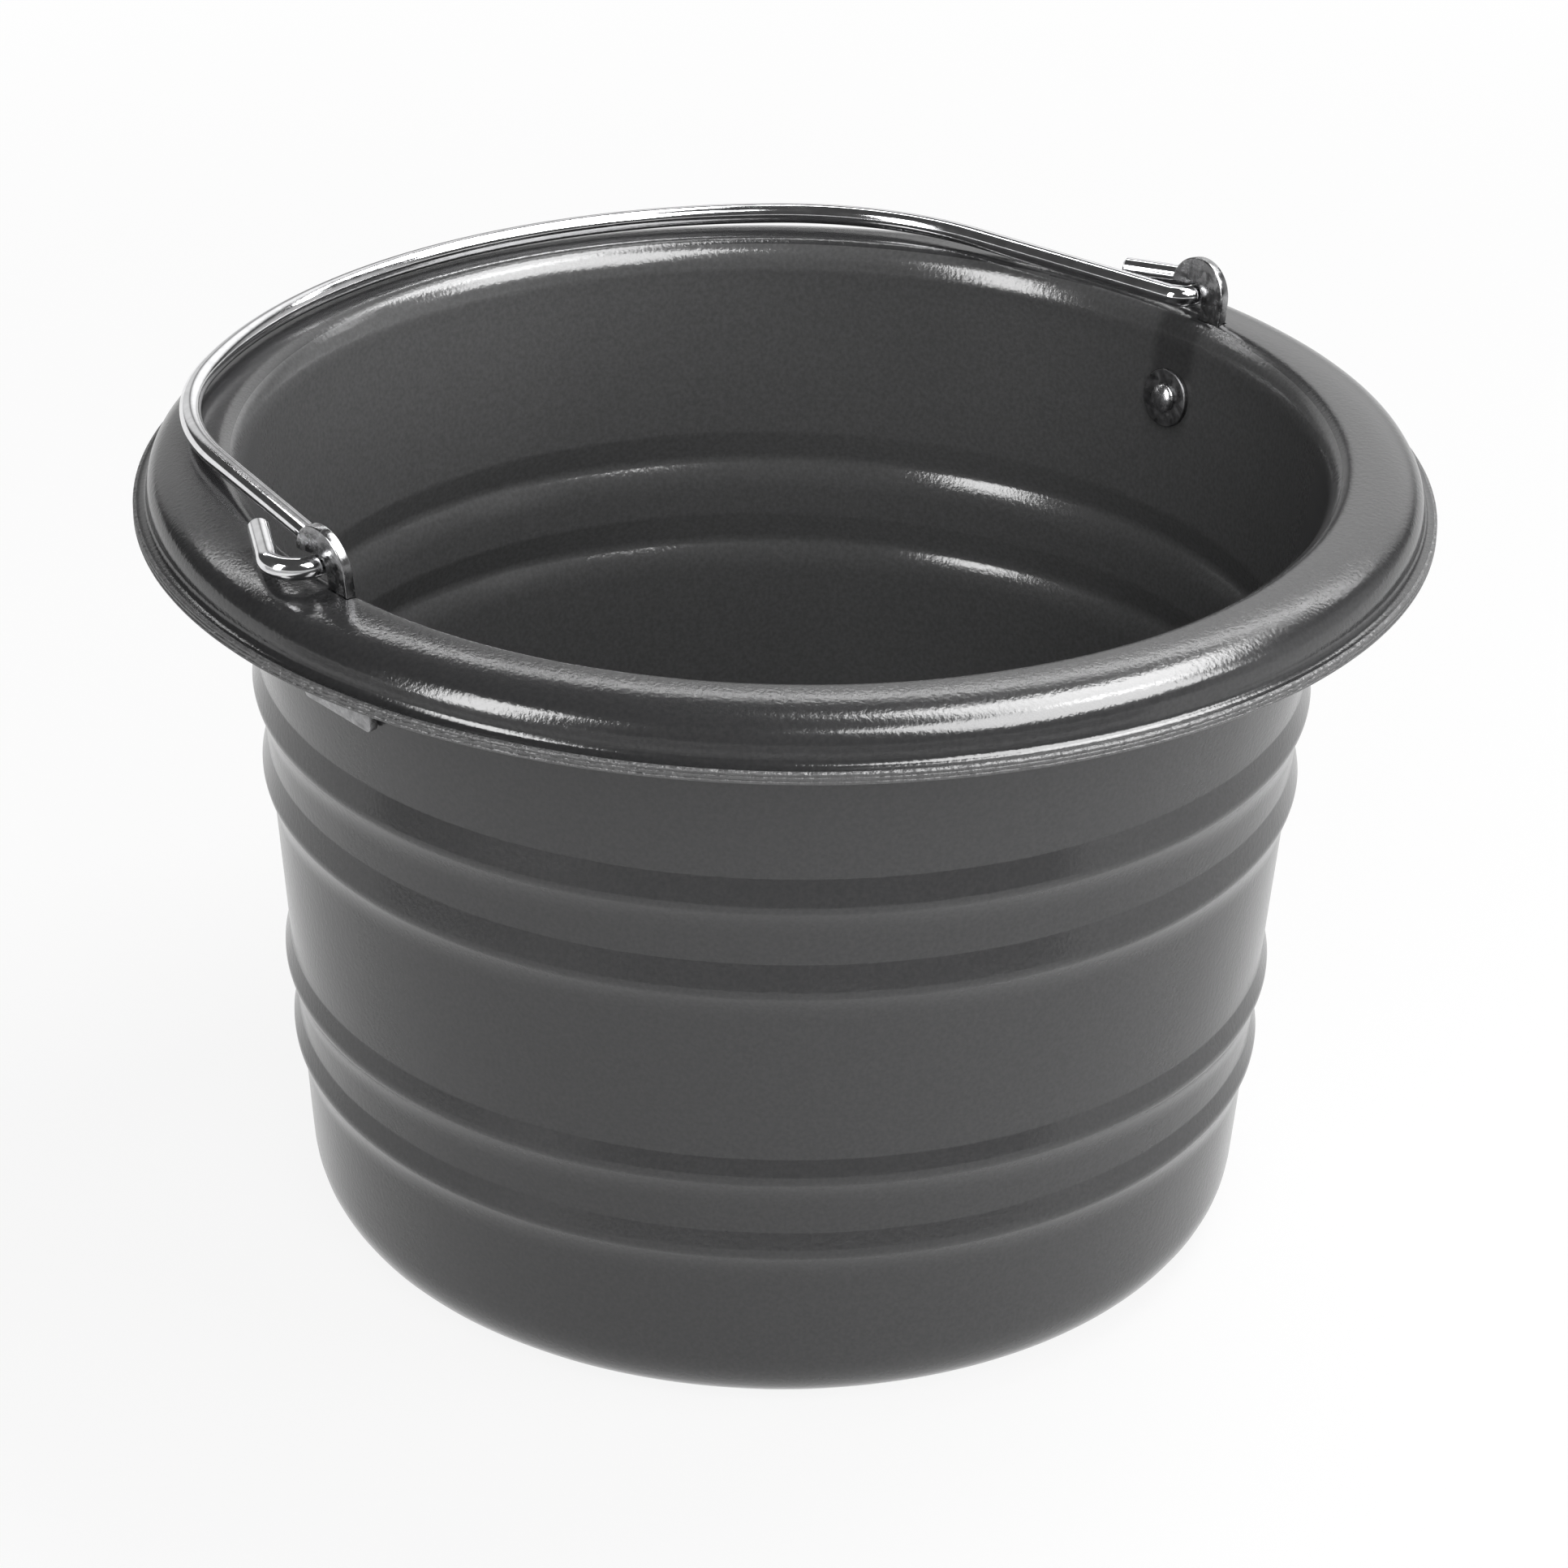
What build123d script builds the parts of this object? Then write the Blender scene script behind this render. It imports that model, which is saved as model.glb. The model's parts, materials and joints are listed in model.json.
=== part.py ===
# A round feed bucket: a ridged rubber tub with a rolled rim, two riveted steel ears and a wire bail.
# Millimetres, +Z up. The tub stands on Z = 0 about the Z axis, and the bail swings about an axis along X.
from build123d import *
from math import acos, asin, cos, degrees, radians, sin, sqrt, tan
import os

# Tub, overall
hem_d = 375.0  # across the outer edge of the rolled rim
height = 243.3  # top of the rim
wall = 4.0  # rubber thickness of wall and rim
floor_t = 5.0
taper = 4.57  # lean of the wall, in degrees
band_lean = 6.6  # lean of the band above the ridges, in degrees
base_edge_r = 22.0

# Rolled rim
rim_w = 24.1  # highest line of the rim out to the edge of the hem
rim_drop = 16.7  # rim top down to the underside of the hem
lip_w = 7.9  # inner face of the wall out to the highest line of the rim
lip_h = 10.5  # height of the rounding on the inner edge of the rim
hem_h = 3.7  # height of the square hem at the rim's outer edge
hem_step = 4.0  # how far the hem stands out from the rolled top
hem_round = 1.0
hem_cove = 2.4  # hollow rounding between the hem and the rolled top
roll_side = 0.8  # straight side of the rolled top, above the cove
roll_fullness = 0.69  # 0.55 rolls the top as an ellipse, and 1 makes it square

# Ridges round the wall, in two pairs
upper_ridge_drop = 71.2  # rim top down to the uppermost ridge
upper_pair_w = 27.3
lower_ridge_z = 58.0  # height of the lowest ridge
lower_pair_w = 25.0
ridge_h = 2.6
ridge_rise = 10.2  # hollow curve up to a ridge
upper_fall = 9.3  # straight face above a ridge of the upper pair
lower_fall = 6.8
ridge_round = 4.5
crease_round = 2.0  # at the foot of a ridge's straight face

# Ears
ear_t = 3.0
tongue_past = 2.5  # tongue under the rim, beyond the outer edge of the stem
ear_below_rivet = 14.0
ear_corner_r = 1.5
stem_w = 8.8  # stem that comes up through the rim
crook_out_r = 11.2  # outside of the crook
crook_rise = 1.0  # middle of the crook's outside above the pivot
crook_end = 50.0  # where the crook stops inside, in degrees above level
crook_tip = 9.0  # where the crook stops outside, in degrees above level
slot_gap = 0.3  # clearance of the stem in the slot of the rim
seat_gap = 0.05  # clearance between the tongue and the wall

# Rivets and washers
rivet_drop = 26.5  # rim top down to the rivets
shank_d = 6.0
shank_gap = 0.1  # radial clearance of the shank in its holes
head_d = 11.0  # factory head, under the rim
head_h = 2.8
clench_d = 9.0  # clenched head, inside the tub
clench_h = 2.4
head_round_share = 0.8  # rounding of a head, as a share of its height
washer_d = 18.0
washer_t = 1.5
washer_bevel = 0.4

# Bail
wire_d = 6.3
crook_gap = 0.8  # clearance of the wire in the crook
pivot_rise = 5.6  # pivot line above the rim top
arm_gap = 0.75  # clearance between the arm and the ear
arm_lean = 10.0  # degrees that each arm leans inwards
bail_past = 8.7  # middle of the folded bail beyond the highest line of the rim
shoulder_r = 93.5
top_r = 179.0
bend_r = 5.5
hook_out = 16.0  # ear mid-plane to the corner of the hook
hook_r = 8.0
tail_back = 16.6  # how far the tail comes back towards the ear
tail_along = 30.8  # how far the tail runs along the arm
wire_bevel = 0.6
rest_gap = 0.1  # middle of the folded bail above the level of the rim top

same = 0.01  # lengths closer than this are taken as equal

# Derived sizes
hem_r = hem_d / 2
wire_r = wire_d / 2
wall_slope = tan(radians(taper))
lean = radians(band_lean)
band_slope = tan(lean)
wall_across = wall / cos(lean)
crest_r = hem_r - rim_w
lip_z = height - lip_h
hem_z = height - rim_drop
roll_foot_r = hem_r - hem_step
cove_z = hem_z + hem_h
roll_foot_z = cove_z + hem_cove + roll_side
upper_ridge_z = height - upper_ridge_drop
ridges = (
    (lower_ridge_z, lower_fall),
    (lower_ridge_z + lower_pair_w, lower_fall),
    (upper_ridge_z - upper_pair_w, upper_fall),
    (upper_ridge_z, upper_fall),
)
band_z = upper_ridge_z + upper_fall
band_r = crest_r - lip_w + wall_across - (lip_z - band_z) * band_slope
rivet_z = height - rivet_drop
hole_d = shank_d + 2 * shank_gap
pivot_z = height + pivot_rise
crook_r = wire_r + crook_gap
bail_reach = crest_r + bail_past


def wall_r(z):
    """Outer radius of the plain wall at height z, or of the band above the ridges."""
    return band_r + (z - band_z) * (band_slope if z > band_z else wall_slope)


def ridged_wall(inset, foot):
    """Wall line from the point foot up past the ridges, set in from the outer face by inset."""
    start = foot
    for ridge_z, fall in ridges:
        rise = (wall_r(ridge_z - ridge_rise) - inset, ridge_z - ridge_rise)
        ridge = (wall_r(ridge_z) + ridge_h - inset, ridge_z)
        crease = (wall_r(ridge_z + fall) - inset, ridge_z + fall)
        Line(start, rise)
        TangentArc(rise, ridge, tangent=(wall_slope, 1))
        Line(ridge, crease)
        start = crease
    return start


def rolled(foot, crest):
    """Full round from upright at foot over to level at crest."""
    upright = (foot[0], foot[1] + roll_fullness * (crest[1] - foot[1]))
    level = (crest[0] + roll_fullness * (foot[0] - crest[0]), crest[1])
    return Bezier(foot, upright, level, crest)


def inner_edge(across, tall):
    """Quarter of an ellipse from upright up to the highest line of the rim, on its inner side."""
    return EllipticalCenterArc((crest_r, lip_z), across, tall, start_angle=90, arc_size=90)


# Frames on the wall at the two rivets: local X across the ear, local Y up the wall, Z out of the wall.
ear_planes = {
    side: Plane(
        origin=(side * wall_r(rivet_z), 0, rivet_z),
        x_dir=(0, side, 0),
        z_dir=(side * cos(lean), 0, -sin(lean)),
    )
    for side in (1, -1)
}
pivot_v = (pivot_z - rivet_z) / cos(lean)
pivot_x = wall_r(pivot_z) + (seat_gap + ear_t / 2) / cos(lean)
stem_mid = -(crook_r + stem_w / 2)
ear_w = 2 * (crook_r + stem_w + tongue_past)
tongue_top_v = (lip_z - slot_gap - rivet_z) / cos(lean)

# Tub
with BuildPart() as tub:
    with BuildSketch(Plane.XZ) as section:
        with BuildLine():
            base_r = wall_r(0)
            floor_r = wall_r(floor_t) - wall_across
            under_foot_r = roll_foot_r - wall
            # Outer face, from the middle of the base to the underside of the rim
            Line((0, 0), (base_r, 0))
            top = ridged_wall(0, (base_r, 0))
            Line(top, (wall_r(lip_z), lip_z))
            inner_edge(lip_w - wall_across, lip_h - wall)
            rolled((under_foot_r, roll_foot_z), (crest_r, height - wall))
            # Hem and rolled top
            Polyline(
                (under_foot_r, roll_foot_z),
                (under_foot_r, hem_z),
                (hem_r, hem_z),
                (hem_r, cove_z),
                (roll_foot_r, cove_z),
                (roll_foot_r, roll_foot_z),
            )
            rolled((roll_foot_r, roll_foot_z), (crest_r, height))
            inner_edge(lip_w, lip_h)
            # Inner face, from the floor to the rim
            inner_top = ridged_wall(wall_across, (floor_r, floor_t))
            Line(inner_top, (crest_r - lip_w, lip_z))
            Line((floor_r, floor_t), (0, floor_t))
            Line((0, floor_t), (0, 0))
        make_face()
        fillet(section.vertices().sort_by_distance((base_r, 0))[0], base_edge_r)
        fillet(section.vertices().sort_by_distance((floor_r, floor_t))[0], base_edge_r - wall)
        for ridge_z, fall in ridges:
            crease_z = ridge_z + fall
            for inset, rounding in ((0, crease_round), (wall_across, crease_round + wall)):
                ridge = (wall_r(ridge_z) + ridge_h - inset, ridge_z)
                crease = (wall_r(crease_z) - inset, crease_z)
                fillet(section.vertices().sort_by_distance(ridge)[0], ridge_round)
                fillet(section.vertices().sort_by_distance(crease)[0], rounding)
        for hem_corner in ((hem_r, hem_z), (hem_r, cove_z)):
            fillet(section.vertices().sort_by_distance(hem_corner)[0], hem_round)
        fillet(section.vertices().sort_by_distance((roll_foot_r, cove_z))[0], hem_cove)
    revolve(axis=Axis.Z)
    for side, plane in ear_planes.items():
        # Slot for the stem, from the hollow of the rim up through its crest
        slot_v = (tongue_top_v, pivot_v)
        with BuildSketch(plane.offset(seat_gap - slot_gap)):
            with Locations((side * stem_mid, sum(slot_v) / 2)):
                Rectangle(stem_w + 2 * slot_gap, slot_v[1] - slot_v[0])
        extrude(amount=ear_t + 2 * slot_gap, mode=Mode.SUBTRACT)
        # Rivet hole
        with BuildSketch(plane):
            Circle(hole_d / 2)
        extrude(amount=2 * wall, both=True, mode=Mode.SUBTRACT)
tub.part.label = "tub"

# Ears
with BuildPart() as ear_right:
    with BuildSketch(ear_planes[1].offset(seat_gap)) as outline:
        # Stem, with a round crook whose outside runs on from the outer edge of the stem
        with Locations((stem_mid, (tongue_top_v + pivot_v + crook_rise) / 2)):
            Rectangle(stem_w, pivot_v + crook_rise - tongue_top_v)
        with Locations((stem_mid - stem_w / 2 + crook_out_r, pivot_v + crook_rise)):
            Circle(crook_out_r)
        # Room for the wire, and the open mouth below the end of the crook
        with Locations((0, pivot_v)):
            Circle(crook_r, mode=Mode.SUBTRACT)
        with BuildLine():
            end = radians(crook_end)
            tip = radians(crook_tip)
            mouth_r = 2 * crook_out_r
            Polyline(
                (-crook_r, pivot_v),
                (0, pivot_v),
                (crook_r * cos(end), pivot_v + crook_r * sin(end)),
                (crook_out_r * cos(tip), pivot_v + crook_out_r * sin(tip)),
                (mouth_r, pivot_v + crook_out_r * sin(tip)),
                (mouth_r, tongue_top_v),
                (-crook_r, tongue_top_v),
                close=True,
            )
        make_face(mode=Mode.SUBTRACT)
        # Tongue that lies against the wall
        with Locations((0, (tongue_top_v - ear_below_rivet) / 2)):
            Rectangle(ear_w, tongue_top_v + ear_below_rivet)
        for corner in outline.vertices().filter_by(lambda v: abs(abs(v.X) - ear_w / 2) < same):
            fillet(corner, ear_corner_r)
        Circle(hole_d / 2, mode=Mode.SUBTRACT)
    extrude(amount=ear_t)
ear_right.part.label = "ear_right"

with BuildPart() as ear_left:
    mirror(ear_right.part, about=Plane.YZ)
ear_left.part.label = "ear_left"

# Washers and rivets
inner_wall_r = wall_r(rivet_z) - wall_across
washer_sag = inner_wall_r - sqrt(inner_wall_r**2 - (washer_d / 2) ** 2)
washer_face = -(wall + washer_sag + seat_gap)
clench_face = washer_face - washer_t
head_face = seat_gap + ear_t


def make_washer(plane, label):
    """Flat washer on the inner face of the wall."""
    with BuildPart() as washer:
        with BuildSketch(plane.offset(washer_face)):
            Circle(washer_d / 2)
            Circle(hole_d / 2, mode=Mode.SUBTRACT)
        extrude(amount=-washer_t)
        rings = washer.edges().filter_by(GeomType.CIRCLE)
        chamfer(rings.filter_by(lambda e: abs(e.radius - washer_d / 2) < same), washer_bevel)
    washer.part.label = label
    return washer.part


def make_rivet(plane, label):
    """Shank through ear, wall and washer, with a domed head at each end."""
    with BuildPart() as rivet:
        with BuildSketch(plane.offset(clench_face)):
            Circle(shank_d / 2)
        extrude(amount=head_face - clench_face)
        heads = ((head_face, head_d, head_h, -1), (clench_face, clench_d, -clench_h, 0))
        for face, across, tall, outermost in heads:
            with BuildSketch(plane.offset(face)):
                Circle(across / 2)
            extrude(amount=tall)
            crown = rivet.faces().sort_by(Axis(plane.origin, plane.z_dir))[outermost]
            fillet(crown.edges(), head_round_share * abs(tall))
    rivet.part.label = label
    return rivet.part


names = {1: "right", -1: "left"}
fasteners = []
for side, plane in ear_planes.items():
    fasteners.append(make_washer(plane, f"washer_{names[side]}"))
    fasteners.append(make_rivet(plane, f"rivet_{names[side]}"))

# Bail: folded down to +Y until its middle lies just above the rolled top of the rim
arm_x = pivot_x - ear_t / 2 - arm_gap - wire_r
arm_turn = radians(arm_lean)
droop = asin((pivot_rise - wire_r - rest_gap) / bail_reach)
bail_plane = Plane(origin=(0, 0, pivot_z), x_dir=(1, 0, 0), z_dir=(0, sin(droop), cos(droop)))
blend = (bail_reach - top_r) * sin(arm_turn) + shoulder_r - arm_x * cos(arm_turn)
shoulder_turn = acos(blend / (shoulder_r - top_r))
top_turn = radians(90) - arm_turn - shoulder_turn
arm_run = arm_x - shoulder_r * cos(arm_turn) + (shoulder_r - top_r) * cos(arm_turn + shoulder_turn)
arm_len = arm_run / sin(arm_turn)

with BuildPart() as bail:
    with BuildLine(bail_plane) as route:
        hook_x = pivot_x + hook_out
        FilletPolyline(
            (hook_x - tail_back, tail_along),
            (hook_x, 0),
            (arm_x, 0),
            (arm_x - arm_len * sin(arm_turn), arm_len * cos(arm_turn)),
            radius=[hook_r, bend_r],
        )
        arm_way = (-sin(arm_turn), cos(arm_turn))
        arm_end = (arm_x - arm_len * sin(arm_turn), arm_len * cos(arm_turn))
        shoulder_arc = JernArc(arm_end, arm_way, shoulder_r, degrees(shoulder_turn))
        turned = arm_turn + shoulder_turn
        shoulder_end = (
            arm_end[0] - shoulder_r * (cos(arm_turn) - cos(turned)),
            arm_end[1] + shoulder_r * (sin(turned) - sin(arm_turn)),
        )
        JernArc(shoulder_end, (-sin(turned), cos(turned)), top_r, degrees(top_turn))
        mirror(about=Plane.YZ)
    path = route.wires()[0]
    with BuildSketch(Plane(origin=path @ 0, z_dir=path % 0)):
        Circle(wire_r)
    sweep(path=path)
    ends = bail.faces().filter_by(GeomType.PLANE)
    chamfer(ends.edges(), wire_bevel)
bail.part.label = "bail"

os.makedirs("parts", exist_ok=True)
for piece in (tub.part, ear_right.part, ear_left.part, *fasteners, bail.part):
    export_step(piece, f"parts/{piece.label}.step")

print(f"pivot line at X {pivot_x:.2f}, Z {pivot_z:.2f}, bail folded {degrees(droop):.3f} below level")
print(f"bail arm {arm_len:.2f}, its shoulder turns {degrees(shoulder_turn):.2f}")
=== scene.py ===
"""Round rubber feed bucket: tub, riveted ears and wire bail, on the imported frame. Metres, +Z up."""
import json
from math import acos, atan2, ceil, cos, degrees, hypot, pi, radians, sin, sqrt, tan

import bmesh
import bpy
from bpy.props import FloatProperty, FloatVectorProperty, IntProperty, PointerProperty
from bpy.types import Operator, Panel, PropertyGroup
from mathutils import Matrix, Vector, noise
from mathutils.geometry import interpolate_bezier


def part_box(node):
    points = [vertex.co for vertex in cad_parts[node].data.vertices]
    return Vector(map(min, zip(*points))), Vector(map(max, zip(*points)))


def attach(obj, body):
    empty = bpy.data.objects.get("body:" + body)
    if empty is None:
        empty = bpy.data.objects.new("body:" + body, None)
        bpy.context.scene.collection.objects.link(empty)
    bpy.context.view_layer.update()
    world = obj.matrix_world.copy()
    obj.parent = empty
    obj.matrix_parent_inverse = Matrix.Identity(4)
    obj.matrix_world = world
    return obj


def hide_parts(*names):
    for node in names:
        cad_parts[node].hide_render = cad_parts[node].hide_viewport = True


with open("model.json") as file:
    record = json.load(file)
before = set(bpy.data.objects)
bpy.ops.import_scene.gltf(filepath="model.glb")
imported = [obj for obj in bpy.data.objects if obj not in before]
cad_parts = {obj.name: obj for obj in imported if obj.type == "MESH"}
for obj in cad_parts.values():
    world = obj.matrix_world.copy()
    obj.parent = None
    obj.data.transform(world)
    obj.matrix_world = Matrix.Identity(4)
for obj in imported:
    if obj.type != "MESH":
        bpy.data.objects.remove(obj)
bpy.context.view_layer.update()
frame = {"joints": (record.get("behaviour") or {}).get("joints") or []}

bl_info = {
    "name": "Feed bucket",
    "version": (1, 0, 0),
    "blender": (4, 5, 0),
    "location": "View3D > Sidebar > Bucket",
    "description": "Builds a rubber feed bucket with a wire bail, and a plain stage for it",
    "category": "Add Mesh",
}

TUB_LOW, TUB_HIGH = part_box("tub")
SWING = frame["joints"][0]
SIDES = ("right", "left")

# Faces round the small round forms, over a rivet's head, along the outside of a crook and round bends
HOLE_SEGMENTS = 48
RIVET_SEGMENTS = 64
WASHER_SEGMENTS = 96
DOME_STEPS = 18
CROOK_STEPS = 48
HOOK_STEPS = 18
CORNER_STEPS = 6

# Longest runs along the tub's section and along the wire, and the turn between points of its bends
TUB_RUN = 0.006
WIRE_RUN = 0.004
WIRE_TURN = radians(1.5)

# Places of the hem's rubber and of the inner face's rubber, which is painted paler as painted light inside
# the tub, among the tub's materials
HEM_FACE, INNER_FACE = 1, 2

# Edges that turn more than this stay sharp
TUB_SHARP = radians(40)
EAR_SHARP = radians(50)
FASTENER_SHARP = radians(40)
WIRE_SHARP = radians(35)

# How often the moulded rubber wanders from its true form, per metre
SLOW_WANDER = 26
QUICK_WANDER = 61
QUICK_SHARE = 0.5  # depth of the quick wander, as a share of the slow one


# Settings

def size(name, description, default):
    """A length that a user may change."""
    return FloatProperty(name=name, description=description, default=default, precision=5, unit="LENGTH")


def turn(name, description, default):
    """An angle that a user may change, given here in degrees."""
    return FloatProperty(name=name, description=description, default=radians(default), subtype="ANGLE")


def share(name, description, default):
    """A plain number that a user may change."""
    return FloatProperty(name=name, description=description, default=default, precision=4)


def tint(name, description, default):
    """A colour that a user may change."""
    return FloatVectorProperty(
        name=name, description=description, default=default, size=3, min=0, max=1, subtype="COLOR"
    )


class BucketTub(PropertyGroup):
    """Sizes and finish of the rubber tub"""

    hem_d: size("Rim diameter", "Across the outer edge of the rolled rim", TUB_HIGH.x - TUB_LOW.x)
    height: size("Height", "Top of the rim", TUB_HIGH.z)
    wall: size("Wall", "Thickness of the rubber", 0.004)
    floor_t: size("Floor", "Thickness of the base", 0.005)
    taper: turn("Taper", "Lean of the wall", 4.57)
    band_lean: turn("Band lean", "Lean of the band above the ridges", 6.6)
    base_edge_r: size("Base edge", "Rounding round the base", 0.022)
    rim_w: size("Rim", "Highest line of the rim out to the hem", 0.0241)
    rim_drop: size("Rim drop", "Top of the rim to the underside of the hem", 0.0167)
    lip_w: size("Lip", "Inner face lightened of the wall out to the highest line of the rim", 0.0079)
    lip_h: size("Lip height", "Height of the rounding on the inner edge of the rim", 0.0105)
    hem_h: size("Hem height", "Height of the square hem", 0.0037)
    hem_step: size("Hem step", "How far the hem stands out from the rolled top", 0.004)
    hem_round: size("Hem rounding", "Rounding of the outer edges of the hem", 0.001)
    hem_cove: size("Hem cove", "Hollow rounding between the hem and the rolled top", 0.0024)
    hem_line_d: size("Hem lines", "Depth of the fine lines round the hem", 0.0003)
    roll_side: size("Roll side", "Straight side of the rolled top, above the cove", 0.0008)
    roll_fullness: share("Roll fullness", "0.55 rolls the top as an ellipse, and 1 makes it square", 0.69)
    upper_ridge_drop: size("Upper ridge drop", "Top of the rim to the uppermost ridge", 0.0712)
    upper_pair_w: size("Upper pair", "Between the two upper ridges", 0.0273)
    lower_ridge_z: size("Lower ridge height", "Height of the lowest ridge", 0.058)
    lower_pair_w: size("Lower pair", "Between the two lower ridges", 0.025)
    ridge_h: size("Ridge", "How far a ridge stands out", 0.0026)
    ridge_rise: size("Ridge rise", "Height of the hollow curve up to a ridge", 0.0102)
    upper_fall: size("Upper fall", "Height of the straight face above an upper ridge", 0.0093)
    lower_fall: size("Lower fall", "Height of the straight face above a lower ridge", 0.0068)
    ridge_round: size("Ridge rounding", "Rounding along a ridge", 0.0045)
    crease_round: size("Crease rounding", "Rounding at the foot of a ridge's straight face", 0.002)
    unevenness: size("Unevenness", "How far the moulded rubber wanders from its true form", 0.00012)
    segments: IntProperty(name="Segments", description="Faces round the tub", default=320, min=48)
    colour: tint("Rubber", "Colour of the rubber", (0.039, 0.039, 0.040))
    # Painted light: the inside takes a paler copy of the rubber's colour, standing in for light that
    # reaches into the tub
    inner_lightened_colour: tint("Inner face lightened", "Colour of the paler rubber inside the tub", (0.097, 0.097, 0.098))
    hem_colour: tint("Hem", "Colour of the rougher cut hem", (0.10, 0.10, 0.101))
    gloss: share("Roughness", "Roughness of the moulded face", 0.16)
    grain: share("Grain", "How fine the moulded grain is, per metre", 800.0)
    grain_depth: size("Grain depth", "Depth of the moulded grain", 0.0002)
    grain_strength: share("Grain strength", "How strongly the moulded grain shows", 0.42)
    hem_gloss: share("Hem roughness", "Roughness of the cut hem", 0.41)
    hem_grain: share("Hem grain", "How fine the grain of the cut hem is, per metre", 420.0)
    hem_grain_depth: size("Hem grain depth", "Depth of the grain of the cut hem", 0.0012)
    hem_grain_strength: share("Hem grain strength", "How strongly the grain of the hem shows", 0.9)


class BucketEars(PropertyGroup):
    """Sizes and finish of the ears, rivets and washers"""

    ear_t: size("Thickness", "Thickness of the steel", 0.003)
    tongue_past: size("Tongue", "Tongue under the rim, beyond the outer edge of the stem", 0.0025)
    below_rivet: size("Tongue below", "Rivet to the lower edge of the tongue", 0.014)
    corner_r: size("Corners", "Rounding of the tongue's corners", 0.0015)
    edge_r: size("Edges", "Rounding of the sheared edges", 0.00045)
    stem_w: size("Stem", "Width of the stem that comes up through the rim", 0.0088)
    crook_out_r: size("Crook", "Outer radius of the crook", 0.0112)
    crook_rise: size("Crook rise", "Middle of the crook's outside above the pivot", 0.001)
    crook_gap: size("Crook gap", "Clearance of the wire in the crook", 0.0008)
    crook_end: turn("Crook end", "Where the crook stops inside, above level", 50)
    crook_tip: turn("Crook tip", "Where the crook stops outside, above level", 9)
    slot_gap: size("Slot gap", "Clearance of the stem in the slot of the rim", 0.0003)
    seat_gap: size("Seat gap", "Clearance between the steel and the rubber", 0.00005)
    rivet_drop: size("Rivet drop", "Top of the rim down to the rivets", 0.0265)
    shank_d: size("Shank", "Diameter of the rivet", 0.006)
    shank_gap: size("Shank gap", "Clearance round the shank", 0.0001)
    head_d: size("Head", "Diameter of the factory head", 0.011)
    head_h: size("Head height", "Height of the factory head", 0.0028)
    clench_d: size("Clench", "Diameter of the clenched head", 0.009)
    clench_h: size("Clench height", "Height of the clenched head", 0.0024)
    dome: share("Dome", "Rounded share of the height of a rivet's heads", 0.8)
    washer_d: size("Washer", "Diameter of the washer", 0.018)
    washer_t: size("Washer thickness", "Thickness of the washer", 0.0015)
    washer_bevel: size("Washer edge", "Rounding of the washer's edge", 0.0004)
    # Painted shade: the inner rubber is darkened round each washer and up to the rim above it
    painted_shade_w: size("Painted shade width", "Width of the dark smear on the rubber at each washer", 0.024)
    painted_shade_keep: share("Painted shade share", "Share of the rubber's colour that is left in a smear", 0.6)
    colour: tint("Zinc", "Colour of the plated steel", (0.32, 0.32, 0.325))
    rivet_colour: tint("Rivets", "Colour of the rivets", (0.5, 0.5, 0.51))
    washer_colour: tint("Washers", "Colour of the dull washers", (0.16, 0.16, 0.163))


class BucketBail(PropertyGroup):
    """Sizes and finish of the wire bail"""

    wire_d: size("Wire", "Diameter of the wire", 0.0063)
    arm_gap: size("Arm gap", "Clearance between the arm and the ear", 0.00075)
    arm_lean: turn("Arm lean", "How far each arm leans inwards", 10)
    past: size("Past the rim", "Middle of the folded bail beyond the highest line of the rim", 0.0087)
    shoulder_r: size("Shoulder", "Bend between an arm and the top", 0.0935)
    top_r: size("Top", "Bend of the top", 0.179)
    bend_r: size("Bend", "Bend from the arm into the crook", 0.0055)
    hook_out: size("Hook", "Ear to the corner of the hook", 0.016)
    hook_r: size("Hook bend", "Bend of the hook", 0.008)
    tail_back: size("Tail back", "How far the tail comes back towards the ear", 0.0166)
    tail_along: size("Tail", "How far the tail runs along the arm", 0.0308)
    wire_bevel: size("Wire end", "Bevel on the cut ends", 0.0006)
    sides: IntProperty(name="Sides", description="Faces round the wire", default=32, min=8)
    ripple_depth: size("Ripples", "Depth of the ripples in the drawn wire", 0.00004)
    colour: tint("Wire", "Colour of the plated wire", (0.72, 0.72, 0.73))


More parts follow.
